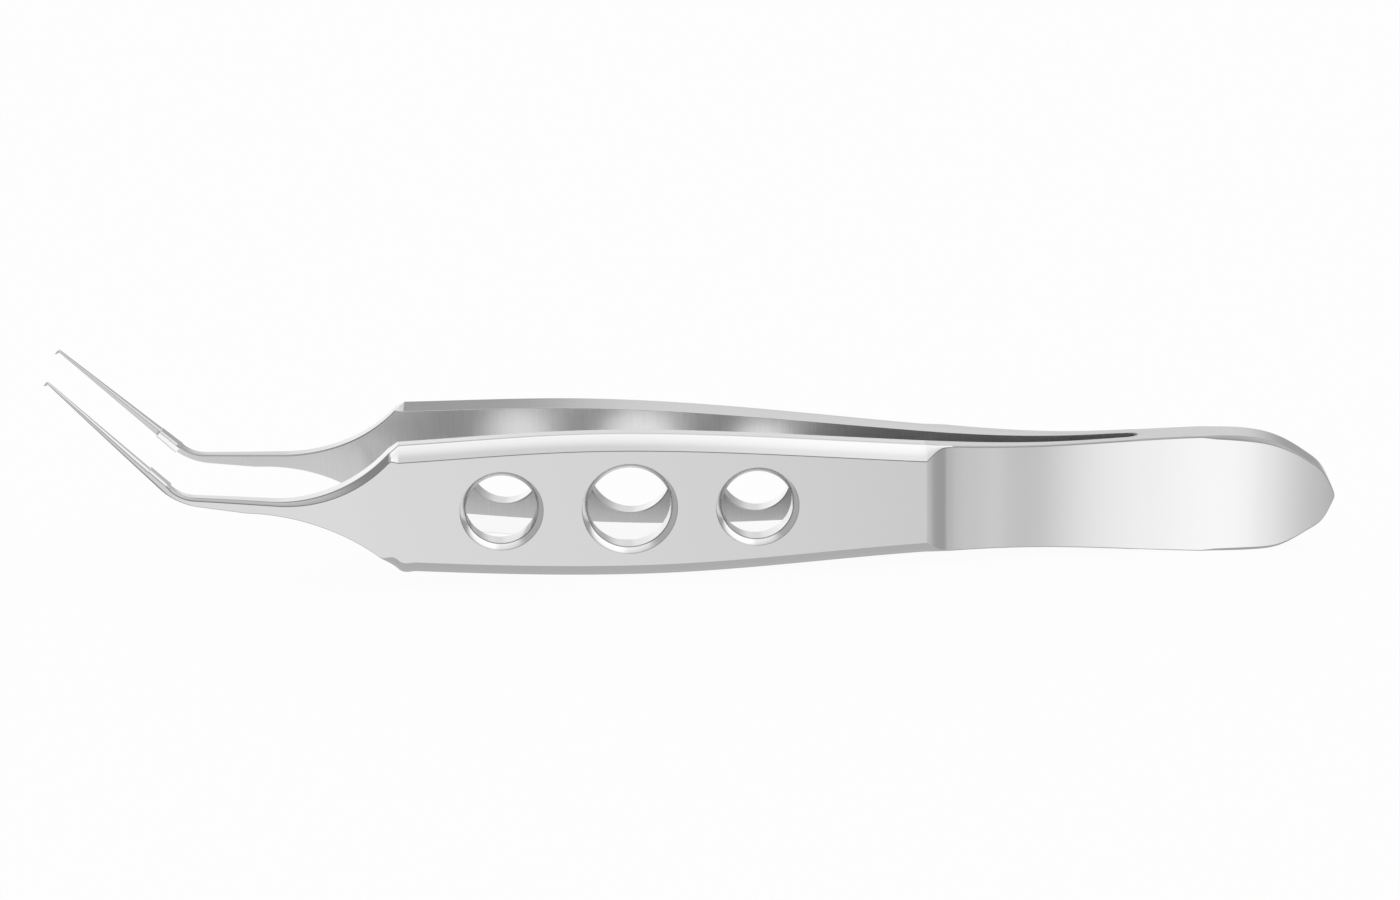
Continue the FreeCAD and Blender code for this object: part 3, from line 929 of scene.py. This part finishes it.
def studio():
    """A soft white room, lit from above the camera and dimmer at the right and the far left."""
    world = bpy.data.worlds.new("studio")
    bpy.context.scene.world = world
    world.use_nodes = True
    nodes, links = world.node_tree.nodes, world.node_tree.links
    nodes.clear()
    out = nodes.new("ShaderNodeOutputWorld")
    place = nodes.new("ShaderNodeTexCoord")
    split = nodes.new("ShaderNodeSeparateXYZ")
    links.new(place.outputs["Generated"], split.inputs["Vector"])
    front = nodes.new("ShaderNodeMath")
    front.operation = "MULTIPLY"
    front.inputs[1].default_value = -1
    links.new(split.outputs["Y"], front.inputs[0])
    tilt = nodes.new("ShaderNodeMath")
    tilt.operation = "ARCTAN2"
    links.new(split.outputs["Z"], tilt.inputs[0])
    links.new(front.outputs[0], tilt.inputs[1])
    height = nodes.new("ShaderNodeMapRange")
    height.inputs["From Min"].default_value = -pi
    height.inputs["From Max"].default_value = pi
    links.new(tilt.outputs[0], height.inputs["Value"])

    def zone(stops):
        node = nodes.new("ShaderNodeValToRGB")
        marks = node.color_ramp.elements
        while len(marks) < len(stops):
            marks.new(0.5)
        for mark, (at, level) in zip(marks, stops):
            mark.position = at
            mark.color = (level, level, level, 1)
        links.new(height.outputs["Result"], node.inputs["Fac"])
        return node.outputs["Color"]

    def blend(first, second, low, high):
        share = nodes.new("ShaderNodeMapRange")
        share.interpolation_type = "SMOOTHSTEP"
        share.inputs["From Min"].default_value = low
        share.inputs["From Max"].default_value = high
        links.new(split.outputs["X"], share.inputs["Value"])
        mix = nodes.new("ShaderNodeMix")
        mix.data_type = "RGBA"
        links.new(share.outputs["Result"], mix.inputs["Factor"])
        links.new(first, mix.inputs["A"])
        links.new(second, mix.inputs["B"])
        return mix.outputs["Result"]

    dusk = nodes.new("ShaderNodeRGB")
    dusk.outputs[0].default_value = (DUSK, DUSK, DUSK, 1)
    left = blend(dusk.outputs[0], zone(ROOM_LEFT), *DUSK_TO_LEFT)
    middle = blend(left, zone(ROOM_MIDDLE), *LEFT_TO_MIDDLE)
    whole = blend(middle, zone(ROOM_RIGHT), *MIDDLE_TO_RIGHT)
    room = nodes.new("ShaderNodeBackground")
    links.new(whole, room.inputs["Color"])
    white = nodes.new("ShaderNodeBackground")
    rays = nodes.new("ShaderNodeLightPath")
    both = nodes.new("ShaderNodeMixShader")
    links.new(rays.outputs["Is Camera Ray"], both.inputs["Fac"])
    links.new(room.outputs["Background"], both.inputs[1])
    links.new(white.outputs["Background"], both.inputs[2])
    links.new(both.outputs["Shader"], out.inputs["Surface"])


CAMERA_DISTANCE = 0.400
CAMERA_ELEVATION = radians(20)
CAMERA_ROLL = radians(-1.03)
CAMERA_AIM = Vector((0.000475, 0, 0.00915))
CAMERA_CLIP = (0.01, 20)
SENSOR_WIDTH = 36
FOCAL_PIXELS = 4920
PHOTO_WIDTH = 1400


def camera():
    """The photograph's view: 20 degrees above the table, square to the handle."""
    data = bpy.data.cameras.new("camera")
    eye = bpy.data.objects.new("camera", data)
    bpy.context.scene.collection.objects.link(eye)
    data.sensor_width = SENSOR_WIDTH
    data.lens = SENSOR_WIDTH * FOCAL_PIXELS / PHOTO_WIDTH
    back = Vector((0, -cos(CAMERA_ELEVATION), sin(CAMERA_ELEVATION)))
    eye.location = CAMERA_AIM + back * CAMERA_DISTANCE
    turn = back.to_track_quat("Z", "Y").to_matrix() @ Matrix.Rotation(CAMERA_ROLL, 3, "Z")
    eye.rotation_euler = turn.to_euler()
    data.clip_start, data.clip_end = CAMERA_CLIP
    bpy.context.scene.camera = eye


near = blade("near_blade", -1, 0)
far = blade("far_blade", 1, INNER_BREAK)
for thing, arm in ((near, "near_arm"), (far, "far_arm")):
    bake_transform(thing)
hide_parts("near_arm", "butt")
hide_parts("far_arm")

floor()
studio()
camera()
bpy.context.scene.view_settings.view_transform = "Standard"
